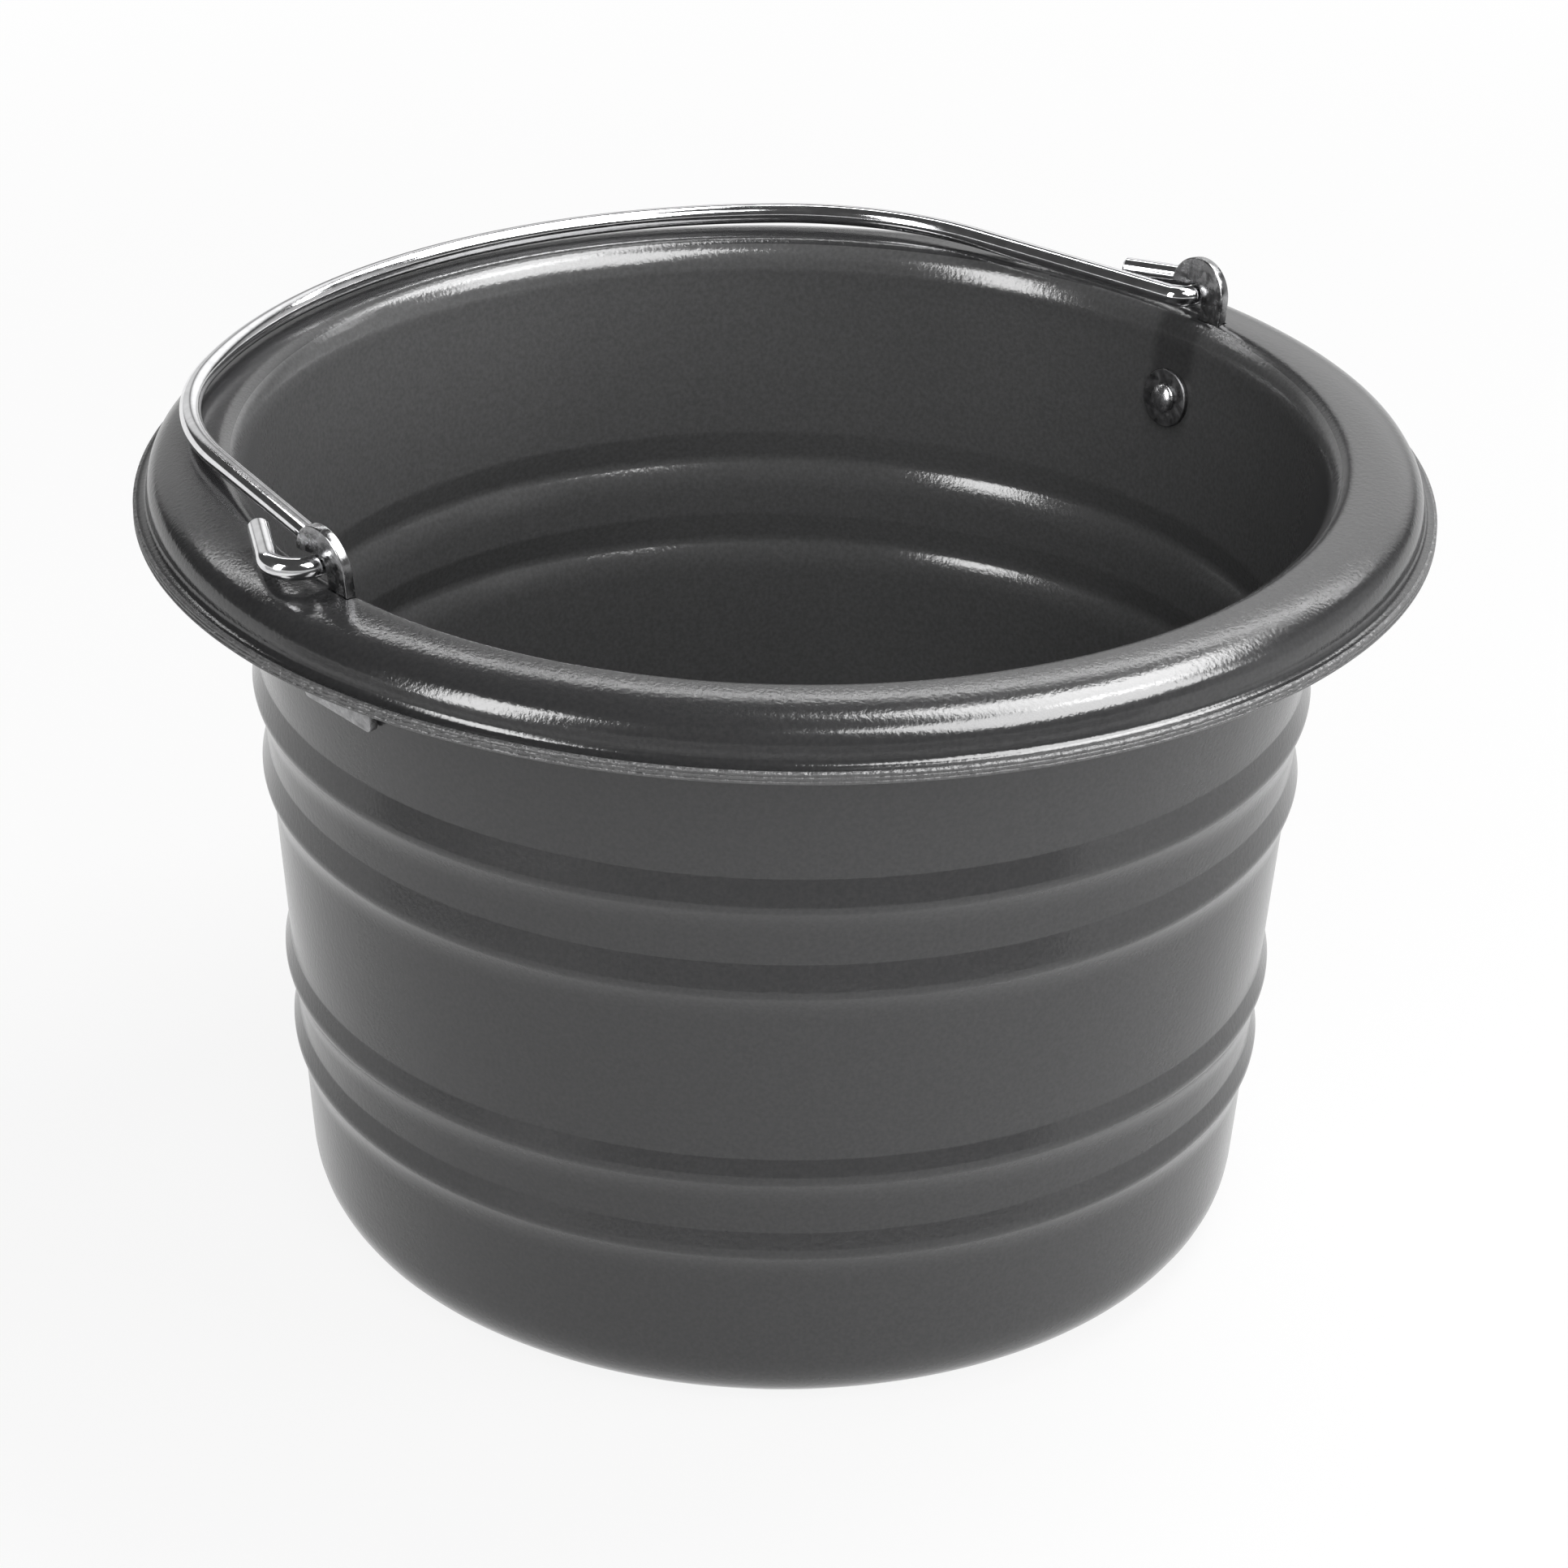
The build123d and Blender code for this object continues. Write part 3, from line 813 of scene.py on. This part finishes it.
class BUCKET_OT_ears(Operator):
    """Makes the two stamped ears with their crooks"""

    bl_idname = "bucket.make_ears"
    bl_label = "Make ears"

    def execute(self, context):
        tub, ears, bail = context.scene.bucket_tub, context.scene.bucket_ears, context.scene.bucket_bail
        hole_r = ears.shank_d / 2 + ears.shank_gap
        hole = oval((0, 0), hole_r, hole_r, 0, 360 - 360 / HOLE_SEGMENTS, HOLE_SEGMENTS - 1)
        outlines = (ear_outline(tub, ears, bail), hole)
        mesh = stamped("ear_plate_right", outlines, ears.ear_t, ears.edge_r)
        middle = Matrix.Translation((0, 0, ears.seat_gap + ears.ear_t / 2))
        mesh.transform(ear_place(tub, ears) @ middle)
        meshes = {"right": mesh, "left": mirrored(mesh, "ear_plate_left")}
        zinc = plated("Ear zinc", ears.colour, low=0.14, high=0.34, mottle_scale=300.0, darker=0.55)
        for name in SIDES:
            piece = placed(f"ear_plate_{name}", meshes[name], (zinc,))
            settle(piece, f"ear_{name}", "tub")
        return {"FINISHED"}


def rivet_line(ears, clench_face, head_face):
    """Section of a rivet from the tip of its clenched end to the tip of its head."""
    shank_r, clench_r, head_r = ears.shank_d / 2, ears.clench_d / 2, ears.head_d / 2
    clench_dome, head_dome = ears.dome * ears.clench_h, ears.dome * ears.head_h
    clench_z = clench_face - ears.clench_h + clench_dome
    head_z = head_face + ears.head_h - head_dome
    line = oval((0, clench_z), clench_r, clench_dome, -90, 0, DOME_STEPS)
    line += [Vector((clench_r, clench_face)), Vector((shank_r, clench_face))]
    line += [Vector((shank_r, head_face)), Vector((head_r, head_face))]
    line += oval((0, head_z), head_r, head_dome, 0, 90, DOME_STEPS)
    line[0].x = line[-1].x = 0
    return line


def washer_line(ears, face):
    """Section of a washer that lies against face, with rounded outer edges."""
    hole_r, out_r = ears.shank_d / 2 + ears.shank_gap, ears.washer_d / 2
    low = face - ears.washer_t
    corners = ((hole_r, low), (out_r, low), (out_r, face), (hole_r, face), (hole_r, low))
    soft = ears.washer_bevel
    soft_corners = [(1, soft), (2, soft), (3, soft / 2)]
    return rounded([Vector(corner) for corner in corners], soft_corners, CORNER_STEPS)[:-1]


class BUCKET_OT_fasteners(Operator):
    """Makes the rivets through ears and wall, and the washers inside the tub"""

    bl_idname = "bucket.make_fasteners"
    bl_label = "Make rivets and washers"

    def execute(self, context):
        tub, ears = context.scene.bucket_tub, context.scene.bucket_ears
        inner_r = wall_r(tub, tub.height - ears.rivet_drop) - tub.wall / cos(tub.band_lean)
        sag = inner_r - sqrt(inner_r**2 - (ears.washer_d / 2) ** 2)
        washer_face = -(tub.wall + sag + ears.seat_gap)
        clench_face = washer_face - ears.washer_t
        line = rivet_line(ears, clench_face, ears.seat_gap + ears.ear_t)
        rivet = revolved("rivet_pin_right", line, RIVET_SEGMENTS)
        washer = ringed("washer_disc_right", washer_line(ears, washer_face), WASHER_SEGMENTS)
        spots = {"mottle_scale": 420.0, "darker": 0.75}
        bright = plated("Rivet zinc", ears.rivet_colour, low=0.16, high=0.3, **spots)
        dull = plated("Washer zinc", ears.washer_colour, low=0.25, high=0.45, **spots)
        sets = ((rivet, "rivet_pin", "rivet", bright), (washer, "washer_disc", "washer", dull))
        for mesh, piece_name, node_name, zinc in sets:
            mesh.transform(ear_place(tub, ears))
            mesh.set_sharp_from_angle(angle=FASTENER_SHARP)
            meshes = {"right": mesh, "left": mirrored(mesh, f"{piece_name}_left")}
            for name in SIDES:
                piece = placed(f"{piece_name}_{name}", meshes[name], (zinc,))
                settle(piece, f"{node_name}_{name}", "tub")
        return {"FINISHED"}


# Bail

def bail_route(tub, ears, bail):
    """Middle line of the wire in the bail's own plane, from one cut end to the other."""
    pivot_z = SWING["pos_m"][2]
    pivot_x = wall_r(tub, pivot_z) + (ears.seat_gap + ears.ear_t / 2) / cos(tub.band_lean)
    arm_x = pivot_x - ears.ear_t / 2 - bail.arm_gap - bail.wire_d / 2
    reach = tub.hem_d / 2 - tub.rim_w + bail.past
    lean = bail.arm_lean
    blend = (reach - bail.top_r) * sin(lean) + bail.shoulder_r - arm_x * cos(lean)
    bent = lean + acos(blend / (bail.shoulder_r - bail.top_r))
    run = arm_x - bail.shoulder_r * cos(lean) + (bail.shoulder_r - bail.top_r) * cos(bent)
    arm = run / sin(lean)
    hook_x = pivot_x + bail.hook_out
    arm_end = Vector((arm_x - arm * sin(lean), arm * cos(lean)))
    line = [(hook_x - bail.tail_back, bail.tail_along), (hook_x, 0), (arm_x, 0), arm_end]
    line = [Vector(point) for point in line]
    shoulder_end = arm_end + bail.shoulder_r * Vector((cos(bent) - cos(lean), sin(bent) - sin(lean)))
    line += swept(arm_end, (-sin(lean), cos(lean)), shoulder_end, WIRE_TURN)
    line += swept(shoulder_end, (-sin(bent), cos(bent)), (0, reach), WIRE_TURN)
    half = divided(rounded(line, [(1, bail.hook_r), (2, bail.bend_r)], HOOK_STEPS), WIRE_RUN)
    return half + [Vector((-point.x, point.y)) for point in half[-2::-1]]


class BUCKET_OT_bail(Operator):
    """Makes the bent wire bail, folded back on the rim"""

    bl_idname = "bucket.make_bail"
    bl_label = "Make bail"

    def execute(self, context):
        tub, ears, bail = context.scene.bucket_tub, context.scene.bucket_ears, context.scene.bucket_bail
        route = bail_route(tub, ears, bail)
        radius, bevel, sides = bail.wire_d / 2, bail.wire_bevel, bail.sides
        ways = []
        for place in range(len(route)):
            before, after = route[max(place - 1, 0)], route[min(place + 1, len(route) - 1)]
            ways.append((after - before).normalized())
        # A cut end is a ring that is drawn in by the bevel, just ahead of the first full ring
        rings = [(route[0], ways[0], radius - bevel), (route[0] + ways[0] * bevel, ways[0], radius)]
        rings += [(point, way, radius) for point, way in zip(route[1:-1], ways[1:-1])]
        rings += [(route[-1] - ways[-1] * bevel, ways[-1], radius), (route[-1], ways[-1], radius - bevel)]
        points = []
        for point, way, r in rings:
            for side in range(sides):
                angle = 2 * pi * side / sides
                out, up = r * cos(angle), r * sin(angle)
                points.append((point.x + way.y * out, point.y - way.x * out, up))
        faces = [tuple(range(sides))[::-1]]
        for ring in range(len(rings) - 1):
            low, high = ring * sides, (ring + 1) * sides
            for side in range(sides):
                beside = (side + 1) % sides
                faces.append((low + side, low + beside, high + beside, high + side))
        faces.append(tuple(range(len(points) - sides, len(points))))
        mesh = mesh_of("bail_wire", points, faces)
        droop = radians(SWING["range_deg"][1] - 180) / 2
        mesh.transform(Matrix.Translation((0, 0, SWING["pos_m"][2])) @ Matrix.Rotation(-droop, 4, "X"))
        mesh.set_sharp_from_angle(angle=WIRE_SHARP)
        drawn = {"mottle_scale": 160.0, "darker": 0.92, "ripple_depth": bail.ripple_depth}
        wire = plated("Bail zinc", bail.colour, low=0.07, high=0.13, **drawn)
        piece = placed("bail_wire", mesh, (wire,))
        settle(piece, "bail", "bail")
        return {"FINISHED"}


# Stage

PAPER_ROUGHNESS = 0.9
FRAME_WIDTH = 36.0  # of the camera's frame, in millimetres

# Lamps: degrees to the right of the camera, degrees up, distance, width, height, brightness as seen
LAMPS = {
    "lamp_behind": (122, 62, 1.5, 0.85, 0.75, 8.0),
    "lamp_front": (0, 31, 2.2, 2.0, 2.0, 2.6),
    "lamp_side": (75, 8, 1.8, 1.0, 0.5, 10.5),
    "panel_behind": (122, 62, 1.49, 0.85, 0.75, 7.0),
    "panel_left": (-50, 22, 1.7, 0.55, 1.4, 16.0),
    "panel_right": (60, 50, 1.7, 1.5, 1.1, 14.0),
    "panel_strip": (180, 45, 0.58, 1.2, 0.03, 12.0),
}
NOT_REFLECTED = ("lamp_front", "lamp_side")
ONLY_REFLECTED = ("panel_behind", "panel_left", "panel_right", "panel_strip")

# Soft glows on the room's walls: degrees to the right of the camera, degrees up, where a glow starts
# and where it is full, as the cosine of the angle from its middle, and its brightness
GLOWS = (
    (163, 24, 0.9, 0.99, 1.4),
    (-156, 16, 0.94, 0.99, 0.8),
    (105, 4, 0.8, 0.99, 0.6),
)
CARD_TURNS = range(-80, 56, 5)  # corners of the shaded card, in degrees to the right of the camera


def around(stage, to_right, elevation, distance):
    """A point round the bucket, given by how far it stands to the right of the camera."""
    azimuth = stage.view_azimuth + radians(to_right)
    level = distance * cos(radians(elevation))
    return Vector((level * sin(azimuth), -level * cos(azimuth), distance * sin(radians(elevation))))


def softbox(name, stage):
    """A rectangular lamp that faces the rim of the bucket."""
    to_right, elevation, distance, width, tall, radiance = LAMPS[name]
    lamp = bpy.data.lights.new(name, "AREA")
    lamp.shape = "RECTANGLE"
    lamp.size = width
    lamp.size_y = tall
    lamp.energy = radiance * pi * width * tall
    aim = Vector((0, 0, TUB_HIGH.z))
    place = around(stage, to_right, elevation, distance)
    facing = place.to_track_quat("Z", "Y").to_matrix().to_4x4()
    piece = bpy.data.objects.new(name, lamp)
    piece.matrix_world = Matrix.Translation(aim + place) @ facing
    piece.visible_glossy = name not in NOT_REFLECTED
    piece.visible_diffuse = name not in ONLY_REFLECTED
    bpy.context.scene.collection.objects.link(piece)


def towards(tree, where, direction):
    """How far the place on the world's sphere lies towards a direction, 1 for straight towards it."""
    both = {0: where, 1: direction}
    return add(tree, "ShaderNodeVectorMath", both, operation="DOT_PRODUCT").outputs["Value"]


def seen(tree):
    """1 for a ray that shows the background as such: to the camera, in a reflection or through glass."""
    ray = add(tree, "ShaderNodeLightPath").outputs
    level = ray["Is Camera Ray"]
    for name in ("Is Glossy Ray", "Is Transmission Ray"):
        level = greater(tree, level, ray[name])
    return level


def lay_floor(stage):
    """A wide pale floor, lifted to white where it is seen, which keeps the bucket's shadow."""
    form = bmesh.new()
    bmesh.ops.create_circle(form, cap_ends=True, segments=96, radius=stage.floor_d / 2)
    mesh = bpy.data.meshes.new("studio_floor")
    form.to_mesh(mesh)
    form.free()
    material, tree, shader = new_material("Studio floor")
    shader.inputs["Base Color"].default_value = (*stage.floor_colour, 1)
    shader.inputs["Roughness"].default_value = PAPER_ROUGHNESS
    shader.inputs["Specular IOR Level"].default_value = 0.0
    where = add(tree, "ShaderNodeTexCoord").outputs["Object"]
    away = add(tree, "ShaderNodeVectorMath", {0: where}, operation="LENGTH").outputs["Value"]
    whiter = between(tree, away, stage.floor_near, stage.floor_far, stage.floor_lift, 1.0)
    lift = product(tree, seen(tree), whiter)
    white = add(tree, "ShaderNodeEmission", {"Color": (1, 1, 1, 1), "Strength": 1.0})
    both = {0: lift, 1: shader.outputs["BSDF"], 2: white.outputs["Emission"]}
    mixed = add(tree, "ShaderNodeMixShader", both)
    tree.links.new(mixed.outputs["Shader"], tree.nodes["Material Output"].inputs["Surface"])
    placed("studio_floor", mesh, (material,))


def stand_card(stage):
    """A low card round the near side, in its own shade, which shows only as a reflection."""
    foot = [around(stage, to_right, 0, stage.card_reach) for to_right in CARD_TURNS]
    points = [(place.x, place.y, z) for z in (stage.card_low, stage.card_high) for place in foot]
    count = len(foot)
    faces = [(n, n + 1, count + n + 1, count + n) for n in range(count - 1)]
    material, tree, shader = new_material("Shaded card")
    shader.inputs["Base Color"].default_value = (*stage.card_colour, 1)
    shader.inputs["Roughness"].default_value = PAPER_ROUGHNESS
    card = placed("shaded_card", mesh_of("shaded_card", points, faces), (material,))
    card.visible_camera = card.visible_diffuse = card.visible_shadow = False


def light_room(scene, stage):
    """A dim room with a white backdrop low round the floor and soft glows on its walls."""
    world = bpy.data.worlds.new("Studio")
    scene.world = world
    world.use_nodes = True
    tree = world.node_tree
    where = add(tree, "ShaderNodeTexCoord").outputs["Generated"]
    height = add(tree, "ShaderNodeSeparateXYZ", {"Vector": where}).outputs["Z"]
    low = between(tree, height, stage.back_low, stage.back_high, stage.back_level, 0.0)
    level = greater(tree, stage.room_level, product(tree, low, seen(tree)))
    for to_right, elevation, start, full, brightness in GLOWS:
        near = towards(tree, where, around(stage, to_right, elevation, 1))
        level = greater(tree, level, between(tree, near, start, full, 0.0, brightness))
    tree.links.new(level, tree.nodes["Background"].inputs["Strength"])
    tree.nodes["Background"].inputs["Color"].default_value = (1, 1, 1, 1)


def set_camera(scene, stage):
    """A camera at the photograph's viewing angle."""
    lens = bpy.data.cameras.new("photo_view")
    lens.lens = stage.lens
    lens.sensor_width = FRAME_WIDTH
    camera = bpy.data.objects.new("photo_view", lens)
    place = around(stage, 0, 0, stage.camera_reach) + Vector((0, 0, stage.camera_height))
    camera.matrix_world = (
        Matrix.Translation(place)
        @ Matrix.Rotation(stage.view_azimuth - stage.camera_pan, 4, "Z")
        @ Matrix.Rotation(pi / 2 - stage.camera_tilt, 4, "X")
        @ Matrix.Rotation(stage.camera_roll, 4, "Z")
    )
    scene.collection.objects.link(camera)
    scene.camera = camera


class BUCKET_OT_stage(Operator):
    """Makes the floor, lamps, surroundings and camera"""

    bl_idname = "bucket.make_stage"
    bl_label = "Make stage"

    def execute(self, context):
        stage, scene = context.scene.bucket_stage, context.scene
        scene.view_settings.view_transform = "Standard"
        lay_floor(stage)
        light_room(scene, stage)
        stand_card(stage)
        for name in LAMPS:
            softbox(name, stage)
        set_camera(scene, stage)
        return {"FINISHED"}


class BUCKET_PT_panel(Panel):
    """Sidebar panel with the settings and the makers of the bucket"""

    bl_idname = "BUCKET_PT_panel"
    bl_label = "Feed bucket"
    bl_space_type = "VIEW_3D"
    bl_region_type = "UI"
    bl_category = "Bucket"

    def draw(self, context):
        scene = context.scene
        for maker in MAKERS:
            self.layout.operator(maker.bl_idname)
        for settings in (scene.bucket_tub, scene.bucket_ears, scene.bucket_bail, scene.bucket_stage):
            box = self.layout.box()
            for name in settings.__annotations__:
                box.prop(settings, name)


MAKERS = (BUCKET_OT_tub, BUCKET_OT_ears, BUCKET_OT_fasteners, BUCKET_OT_bail, BUCKET_OT_stage)
SETTINGS = {
    "bucket_tub": BucketTub,
    "bucket_ears": BucketEars,
    "bucket_bail": BucketBail,
    "bucket_stage": BucketStage,
}


def register():
    """Adds the settings, operators and panel to Blender."""
    for name, kind in SETTINGS.items():
        bpy.utils.register_class(kind)
        setattr(bpy.types.Scene, name, PointerProperty(type=kind))
    for kind in (*MAKERS, BUCKET_PT_panel):
        bpy.utils.register_class(kind)


def unregister():
    """Takes them out again."""
    for kind in (BUCKET_PT_panel, *reversed(MAKERS)):
        bpy.utils.unregister_class(kind)
    for name, kind in reversed(SETTINGS.items()):
        delattr(bpy.types.Scene, name)
        bpy.utils.unregister_class(kind)


def main():
    """Makes every piece and the stage."""
    register()
    bpy.ops.bucket.make_tub()
    bpy.ops.bucket.make_ears()
    bpy.ops.bucket.make_fasteners()
    bpy.ops.bucket.make_bail()
    bpy.ops.bucket.make_stage()


if __name__ == "__main__":
    main()
